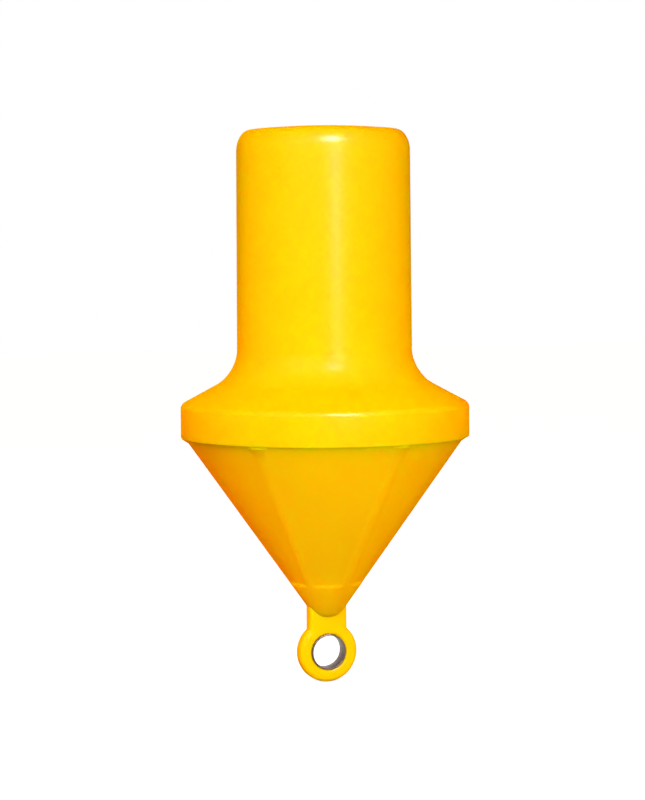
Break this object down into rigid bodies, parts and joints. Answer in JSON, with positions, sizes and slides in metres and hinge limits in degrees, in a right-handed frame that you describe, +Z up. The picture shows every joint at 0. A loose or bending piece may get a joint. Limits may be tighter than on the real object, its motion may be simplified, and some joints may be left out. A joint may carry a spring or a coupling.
{
  "type": "navigation buoy with a drum-shaped mark",
  "caption": "Moored marker buoy: a drum-shaped mark on a double-cone float with a broad band at the waterline, a ribbed lower cone and a tube-lined mooring eye.",
  "frame": {"origin": "on the buoy's upright axis at its waterline, half way up the band", "axes": "+Z up along the buoy's axis; Y along the bore of the mooring eye"},
  "size_m": [0.8, 0.7996, 1.542],
  "materials": {
    "moulded_yellow": "moulded polyethylene, soft gloss with a faint orange-peel skin",
    "galvanised_steel": "galvanised, dull",
    "plug_yellow": "pressed-in plug, satin"
  },
  "bodies": {
    "root": {"float_body": "moulded_yellow", "mooring_eye": "moulded_yellow", "eye_tube": "galvanised_steel", "filling_plug": "plug_yellow"}
  },
  "joints": []
}
